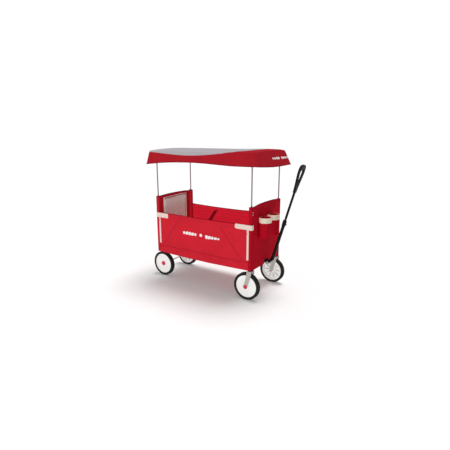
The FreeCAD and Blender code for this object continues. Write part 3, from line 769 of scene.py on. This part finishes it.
end_wall(-1, "rear_end", "rear")
end_wall(1, "front_end", "front")

for i, level in enumerate((0.615, 0.599)):
    verts_centre = at(HALF_LENGTH + 0.0005, -0.1995, level)
    snap_path = [verts_centre, (verts_centre[0] + 0.0022, verts_centre[1], level)]
    snap = tube("corner_snap_%d" % (i + 1), snap_path, 0.0042, SNAP, "front_end", sides=24)
    soften(snap, 0.0008)


def cup(name, y, piece_name):
    """A round cloth pocket that is a little fuller near its mouth."""
    cx, radius, low, high = HALF_LENGTH + 0.0403, 0.0385, 0.4275, 0.570

    def point(u, v):
        a = 2 * math.pi * u
        if v < 0.22:
            r = radius * 0.93 * ease(v / 0.22) ** 0.5
            z = low + 0.004 * (1 - math.cos(math.pi / 2 * v / 0.22))
        else:
            t = (v - 0.22) / 0.78
            r = radius * mix(0.93, 1.0, ease(t * 1.4))
            z = mix(low + 0.004, high, t)
            dent = wave(math.cos(a), math.sin(a) + y * 9, z * 9, 1.6, 3.0)
            r += 0.0016 * dent * math.sin(math.pi * min(t, 0.8))
            r += 0.0008 * math.cos(a * 9 + z * 40) * math.sin(math.pi * min(t * 1.2, 1.0))
        across = y + r * math.sin(a)
        return at(max(cx + r * math.cos(a), HALF_LENGTH + wall_bulge(1, across, z) + 0.0030), across, z)

    # The pocket takes the darker copy of the side cloth, painted shade to match the front wall.
    made = grid(piece_name, 72, 60, point, RED_PAINTED_SHADE, "front_end", closed=True)
    thicken(made, 0.0020, offset=0.0)

    def band_point(u, v):
        a = 2 * math.pi * u
        r = 0.0399 + 0.0012 * (1 - abs(2 * v - 1) ** 5) + 0.0004 * wave(math.cos(a), math.sin(a), v, 2.5)
        across, z = y + r * math.sin(a), mix(0.5355, 0.5705, v) + 0.001 * math.cos(a)
        return at(max(cx + r * math.cos(a), HALF_LENGTH + wall_bulge(1, across, z) + 0.0010), across, z)

    band = grid(name, 80, 12, band_point, BEIGE, "front_end", closed=True)
    thicken(band, 0.0016)
    turns = [mix(-2.2, 2.2, i / 40) for i in range(41)]
    rows = [[at(cx + SEAM_RADIUS * math.cos(a), y + SEAM_RADIUS * math.sin(a), level + 0.001 * math.cos(a))
             for a in turns] for level in (0.5390, 0.5670)]
    seam = stitches(name + "_stitching", rows, "front_end", PIPING, outward=(0, 0, 1))
    return made, band


near_cup = cup("cup_band_near", -0.098, "cup_pocket_near")
cup("cup_band_far", 0.024, "cup_pocket_far")
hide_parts("cup_holders")
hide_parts("cup_bands")

# ---------------------------------------------------------------- padded pieces

PAD = [(-0.139, 0.302), (0.126, 0.302), (0.126, 0.6285), (0.06, 0.6325), (-0.139, 0.6255)]


def pad_limits(co):
    return Vector((min(max(co.x, -0.4142 - SHIFT), -0.3985 - SHIFT), co.y, co.z))


seat = block("seat_cushion", PAD, -0.4135, -0.4040, TAUPE, "rear_end")
swell(seat, 0.006, 0.009, pad_limits)
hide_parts("seat_pad")
ring = [(-0.140, 0.301), (-0.140, 0.6265), (0.06, 0.6335), (0.127, 0.6295), (0.127, 0.301)]
loop = []
for i, (y, z) in enumerate(ring):
    y2, z2 = ring[(i + 1) % len(ring)]
    loop += [at(-0.4035, mix(y, y2, k / 12), mix(z, z2, k / 12)) for k in range(12)]
tube("seat_cushion_piping", loop, 0.0034, PIPING, "rear_end", closed=True)


def mat(end, body, name):
    x0, x1 = (0.0030, 0.3400) if end > 0 else (-0.3400, -0.0030)
    edge = [(-MAT_HALF, 0.2460), (MAT_HALF, 0.2460), (MAT_HALF, 0.2575), (-MAT_HALF, 0.2575)]
    made = block(name, edge, x0, x1, MAT_RED, body)

    def limits(co):
        x = co.x + SHIFT
        channel = min(abs(x - end * s) for s in (0.085, 0.170, 0.255))
        top = 0.2605 - groove(channel, 0.004, 0.0035)
        near = min(max(x, min(x0, x1) - 0.0025), max(x0, x1) + 0.0025)
        return Vector((near - SHIFT, min(max(co.y, -0.186), 0.186), min(max(co.z, 0.2442), top)))

    swell(made, 0.006, 0.004, limits)
    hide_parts("front_floor_mat" if end > 0 else "rear_floor_mat")
    return made


mat(-1, "rear_floor", "floor_pad_rear")
mat(1, "front_floor", "floor_pad_front")


def strap_point(u, v):
    a = mix(0.0, math.pi, u)
    x = -0.044 + 0.036 * math.cos(a)
    z = 0.2612 + 0.0125 * math.sin(a) ** 0.7
    return at(x, mix(-0.0128, 0.0128, v), z)


pull = grid("pull_strap_webbing", 40, 16, strap_point, WEBBING, "rear_floor")
thicken(pull, 0.0018)
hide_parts("pull_strap")

# ---------------------------------------------------------------- canopy


def rounded_rectangle(a, half_x, half_y, power):
    """A point on a rounded rectangle at an angle, as shares of its half sizes."""
    c, s = math.cos(a), math.sin(a)
    r = (abs(c) ** power + abs(s) ** power) ** (-1 / power)
    return c * r * half_x, s * r * half_y


def angle_steps(count):
    """Angles that are closer together near the corners of the plan."""
    steps = []
    for i in range(count):
        t = i / count * 4
        quarter, part = int(t), t - int(t)
        steps.append((quarter + part - 0.11 * math.sin(2 * math.pi * part * 2) / 2) * math.pi / 2)
    return steps


RING = 240
ANGLES = angle_steps(RING)
HEM_NEAR = [(-0.480, 0.8920), (-0.327, 0.9080), (-0.185, 0.9170), (-0.050, 0.9210), (0.076, 0.9200),
            (0.200, 0.9155), (0.310, 0.9125), (0.480, 0.9150)]
HEM_FAR = HEM_NEAR[:-2] + [(0.320, 0.9090), (0.480, 0.9010)]
HEM_FRONT = [(-0.252, 0.9150), (-0.180, 0.9100), (-0.110, 0.9050), (-0.036, 0.9010),
             (0.041, 0.8990), (0.164, 0.9000), (0.252, 0.9010)]
HEM_REAR = [(-0.252, 0.8920), (0.000, 0.9010), (0.252, 0.8920)]
# Where the grey panel ends: distance in from the top's side edge, or down the valance where it is negative.
GREY_EDGE = [(-0.480, -0.006), (-0.420, -0.008), (-0.323, -0.014), (-0.183, -0.023), (-0.049, -0.024),
             (0.036, -0.020), (0.158, -0.010), (0.230, -0.002), (0.289, 0.008), (0.320, 0.030),
             (0.345, 0.070), (0.360, 0.120),
             (0.370, 0.216), (0.400, 0.300)]


def hem_height(x, y):
    if abs(x) / 0.480 > abs(y) / 0.252:
        return curve(HEM_FRONT if x > 0 else HEM_REAR, y * 1.02)
    return curve(HEM_NEAR if y < 0 else HEM_FAR, x * 1.02)


def top_height(x, y):
    """The crowned top; it swells a little near its front edge."""
    edge = mix(0.9910, 0.9985, (x + 0.460) / 0.898)
    bump = 0.0040 * math.exp(-(((x - 0.310) / 0.100) ** 2))
    return edge + 0.0085 * (1 - (y / 0.232) ** 2) + bump


def canopy_at(a, s):
    """A point of the cover at a plan angle; s is 0 at the crown, 1 at the top edge and 2 at the hem."""
    soft = math.cos(a) > 0 and math.sin(a) < 0
    tx, ty = rounded_rectangle(a, 0.449, 0.232, 9.0 if soft else 24.0)
    tx -= 0.011
    hx, hy = rounded_rectangle(a, 0.4785, 0.2505, 11.0 if soft else 30.0)
    if s <= 1:
        x, y = tx * s, ty * s
        z = top_height(x, y) - 0.004 * ease((s - 0.93) / 0.07)
    else:
        t = s - 1
        x, y = mix(tx, hx, t ** 0.92), mix(ty, hy, t ** 0.92)
        start = top_height(tx, ty) - 0.004
        z = mix(start, hem_height(hx, hy), t)
        pleat = 0.0010 * math.sin(a * 34 + 3 * math.sin(a * 3)) * ease(t)
        fold = 0.0022 * wave(x, y, z * 0.4, 9.0, 6.0) + pleat
        out = Vector((hx, hy * 1.9)).normalized()
        x += out.x * fold
        y += out.y * fold
    z += 0.0014 * wave(x, y, 0, 7.0, 8.0) * (1 if s < 1.6 else 0.3)
    return at(x, y, z)


def canopy_point(i, s):
    return canopy_at(ANGLES[i % RING], s)


def panel_edge(x, y, s, drop):
    """Signed distance from the edge of the grey panel, positive on the grey side."""
    inward = 0.232 - abs(y) if s <= 1 else -drop
    return inward - curve(GREY_EDGE, x)


STEPS = [0.0, 0.15, 0.3, 0.45, 0.58, 0.68, 0.76, 0.82, 0.87, 0.91, 0.94, 0.965, 0.985, 1.0]
STEPS += [1.0 + i / 30 for i in range(1, 31)]
verts = [canopy_point(0, 0.0)]
sides = [panel_edge(verts[0][0] + SHIFT, 0.0, 0.0, 0.0)]
for s in STEPS[1:]:
    for i in range(RING):
        x, y, z = canopy_point(i, s)
        verts.append((x, y, z))
        sides.append(panel_edge(x + SHIFT, y, s, canopy_point(i, 1.0)[2] - z))
faces = [(0, 1 + i, 1 + (i + 1) % RING) for i in range(RING)]
for j in range(len(STEPS) - 2):
    for i in range(RING):
        k = (i + 1) % RING
        faces.append((1 + j * RING + i, 1 + (j + 1) * RING + i, 1 + (j + 1) * RING + k, 1 + j * RING + k))
cover = piece("canopy_cloth", verts, faces, RED_TOP, "canopy")
cover.data.attributes.new("panel_edge", "FLOAT", "POINT").data.foreach_set("value", sides)
thicken(cover, 0.0020, offset=-1.0)
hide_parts("canopy_cover")
hem_path = [canopy_point(i, 2.0) for i in range(RING)]
hem = tube("canopy_hem_binding", hem_path, BINDING, RED_DARK, "canopy", closed=True)
edge_rows = [[canopy_point(i, 1.93) for i in range(RING)] + [canopy_point(0, 1.93)]]
hem_seam = stitches("canopy_stitching", edge_rows, "canopy", outward=(0, 0, 1))

blocks = []
for i in range(9):
    if i == 4:
        continue
    a = math.atan2(-0.012 + i * 0.028, 0.2505)
    centre = Vector(canopy_at(a, 1.50))
    along = Vector(canopy_at(a + 0.01, 1.50)) - centre
    down = Vector(canopy_at(a, 1.52)) - centre
    facing = down.cross(along).normalized()
    size = (0.0105, 0.0085 - 0.0006 * abs(i - 4), 0.0012)
    blocks.append((centre + facing * 0.0012, size, along + down * 0.35, facing))
canopy_mark = boxes("canopy_mark", blocks, MARK, "canopy")
for cloth_piece in (cover, hem, hem_seam, canopy_mark):
    folds(cloth_piece)

# ---------------------------------------------------------------- hard parts

LOOKS = {
    "_tyre": TYRE, "_wheel": WHITE, "_hub_cap": CAP_RED,
    "_fork": FORK, "_fork_bolt": STEEL, "_fork_cap": CAP_RED,
    "_poles": POLE, "_pole_sockets": SOCKET, "_posts": FRAME, "_top_bow": FRAME, "_lower_bar": FRAME,
    "_fold_arms": FRAME, "_fold_pin": STEEL, "_floor_rails": FRAME, "_floor_crossbars": FRAME,
    "rear_axle_brackets": FRAME, "rear_axle": STEEL, "caster_housings": BLACK, "handle_bracket": BLACK,
    "handle_lower_tube": PAINT, "handle_collar": BLACK, "handle_button": BLACK, "handle_upper_tube": PAINT,
    "handle_grip": BLACK,
}
for node_name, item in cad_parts.items():
    fitting = [key for key in LOOKS if node_name.endswith(key)]
    if fitting:
        item.data.materials.clear()
        item.data.materials.append(LOOKS[max(fitting, key=len)])
for node_name, width in (("handle_grip", 0.0045), ("near_caster_fork", 0.0012), ("far_caster_fork", 0.0012),
                         ("handle_collar", 0.0015), ("handle_bracket", 0.0010), ("caster_housings", 0.0010)):
    soften(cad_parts[node_name], width, 3)

for side, side_name in ((-1, "near"), (1, "far")):
    for end_name, x, half_track in (("rear", REAR_AXLE, REAR_HALF_TRACK),
                                    ("front", FRONT_AXLE, FRONT_HALF_TRACK)):
        y = side * half_track
        body = "%s_%s_wheel_body" % (end_name, side_name)
        # The ribs on each wheel's inner face take the grey copy of the wheel white, painted shade.
        ribs = []
        for k in range(10):
            a = 2 * math.pi * k / 10
            along = (math.cos(a), 0, math.sin(a))
            centre = at(x + 0.0430 * along[0], y - side * 0.0015, HUB_Z + 0.0430 * along[2])
            ribs.append((centre, (0.0240, 0.0016, 0.0052), along, (0, -side, 0)))
        boxes("%s_%s_wheel_ribs" % (end_name, side_name), ribs, WHEEL_SHADE_GREY, body)
        lip = [(0.0590, 0.0091), (0.0596, 0.0104), (0.0610, 0.0104), (0.0616, 0.0091)]
        turned("%s_%s_wheel_bead" % (end_name, side_name), lip, at(x, y, HUB_Z), side, WHITE, body, 72, True)

PIN_CAP = [(0.0078, 0.0), (0.0078, 0.0018), (0.0060, 0.0034), (0.0020, 0.0040)]
for side, side_name in ((-1, "near"), (1, "far")):
    turned("handle_pin_cap_" + side_name, PIN_CAP, at(0.439, side * 0.0161, 0.226),
           side, FORK, "front_end", 32)


# ---------------------------------------------------------------- stage

floor_mesh = bpy.data.meshes.new("floor")
floor_mesh.from_pydata([(-12, -12, 0), (12, -12, 0), (12, 12, 0), (-12, 12, 0)], [], [(0, 1, 2, 3)])
floor = bpy.data.objects.new("floor", floor_mesh)
bpy.context.scene.collection.objects.link(floor)
paper = Graph("paper_white")
paper.shader.inputs["Base Color"].default_value = (0.92, 0.92, 0.92, 1)
paper.shader.inputs["Roughness"].default_value = 0.9
paper.shader.inputs["Specular IOR Level"].default_value = 0.0
floor_mesh.materials.append(paper.material)


def sun(name, toward, power, spread, shadow):
    """Even light from one direction; toward points from the light to the wagon."""
    data = bpy.data.lights.new(name, "SUN")
    data.energy = power
    data.angle = math.radians(spread)
    data.use_shadow = shadow
    made = bpy.data.objects.new(name, data)
    made.rotation_euler = Vector(toward).to_track_quat("-Z", "Y").to_euler()
    bpy.context.scene.collection.objects.link(made)


sun("overhead", (-0.05, -0.25, -1.0), 1.95, 26, True)
sun("key", (0.45, 0.80, -0.26), 1.45, 5, False)
sun("fill", (-0.80, 0.30, -0.30), 0.30, 5, False)
world = bpy.data.worlds.new("studio")
world.use_nodes = True
lit = world.node_tree.nodes["Background"]
lit.inputs["Color"].default_value = (1, 1, 1, 1)
lit.inputs["Strength"].default_value = 0.37
seen = world.node_tree.nodes.new("ShaderNodeBackground")
seen.inputs["Color"].default_value = (1, 1, 1, 1)
seen.inputs["Strength"].default_value = 1.0
path = world.node_tree.nodes.new("ShaderNodeLightPath")
choice = world.node_tree.nodes.new("ShaderNodeMixShader")
world.node_tree.links.new(path.outputs["Is Camera Ray"], choice.inputs["Fac"])
world.node_tree.links.new(lit.outputs["Background"], choice.inputs[1])
world.node_tree.links.new(seen.outputs["Background"], choice.inputs[2])
world.node_tree.links.new(choice.outputs["Shader"], world.node_tree.nodes["World Output"].inputs["Surface"])
bpy.context.scene.world = world
bpy.context.scene.view_settings.view_transform = "Standard"

view = bpy.data.cameras.new("view")
view.sensor_width = 36
view.lens = 30.665
camera = bpy.data.objects.new("view", view)
camera.location = (1.6056 - SHIFT, -2.3242, 1.1269)
yaw, pitch = math.radians(123.449), math.radians(-13.738)
look = Vector((math.cos(yaw) * math.cos(pitch), math.sin(yaw) * math.cos(pitch), math.sin(pitch)))
camera.rotation_euler = look.to_track_quat("-Z", "Y").to_euler()
bpy.context.scene.collection.objects.link(camera)
bpy.context.scene.camera = camera
